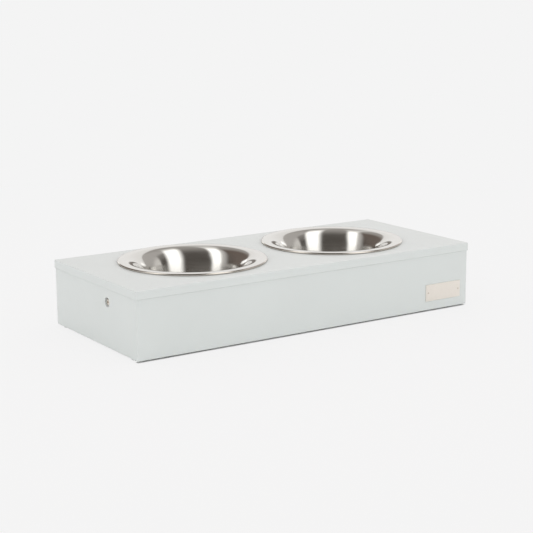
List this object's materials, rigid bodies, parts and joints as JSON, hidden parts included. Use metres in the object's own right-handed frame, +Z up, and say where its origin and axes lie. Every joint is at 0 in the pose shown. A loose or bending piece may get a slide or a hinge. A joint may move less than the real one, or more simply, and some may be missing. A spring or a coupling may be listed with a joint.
{
  "type": "wall-mounted pet feeder",
  "caption": "Low painted box that hangs on a wall bracket or stands on pads, with round steel feeding bowls that lift out of its top.",
  "frame": {"origin": "on the floor below the middle of the top panel", "axes": "+X to the right along the long side, +Y from the front towards the wall, +Z up"},
  "size_m": [0.56, 0.244, 0.0985],
  "materials": {
    "painted_board": "smooth satin paint, very pale cool grey",
    "bare_wood": "sanded, unpainted",
    "pad_rubber": "matt, pale grey",
    "coated_steel": "powder coated, satin",
    "plated_steel": "zinc plated",
    "bowl_steel": "polished rim, brushed inside",
    "plate_metal": "pale satin nickel"
  },
  "bodies": {
    "feeder": {"top_panel": "painted_board", "front_panel": "painted_board", "left_side_panel": "painted_board", "right_side_panel": "painted_board", "back_board": "painted_board", "front_left_block": "bare_wood", "front_right_block": "bare_wood", "rear_left_block": "bare_wood", "rear_right_block": "bare_wood", "front_left_pad": "pad_rubber", "front_right_pad": "pad_rubber", "rear_left_pad": "pad_rubber", "rear_right_pad": "pad_rubber", "panel_dowels": "bare_wood", "wall_bracket": "coated_steel", "weld_nuts": "plated_steel", "side_bolts": "plated_steel", "front_plate": "plate_metal", "plate_pins": "plate_metal"},
    "left_bowl": {"left_bowl": "bowl_steel"},
    "right_bowl": {"right_bowl": "bowl_steel"}
  },
  "joints": [
    {"name": "left_bowl_lift", "type": "slide", "parent": "feeder", "child": "left_bowl", "axis": [0, 0, 1], "range_m": [0, 0.06]},
    {"name": "right_bowl_lift", "type": "slide", "parent": "feeder", "child": "right_bowl", "axis": [0, 0, 1], "range_m": [0, 0.06]}
  ]
}
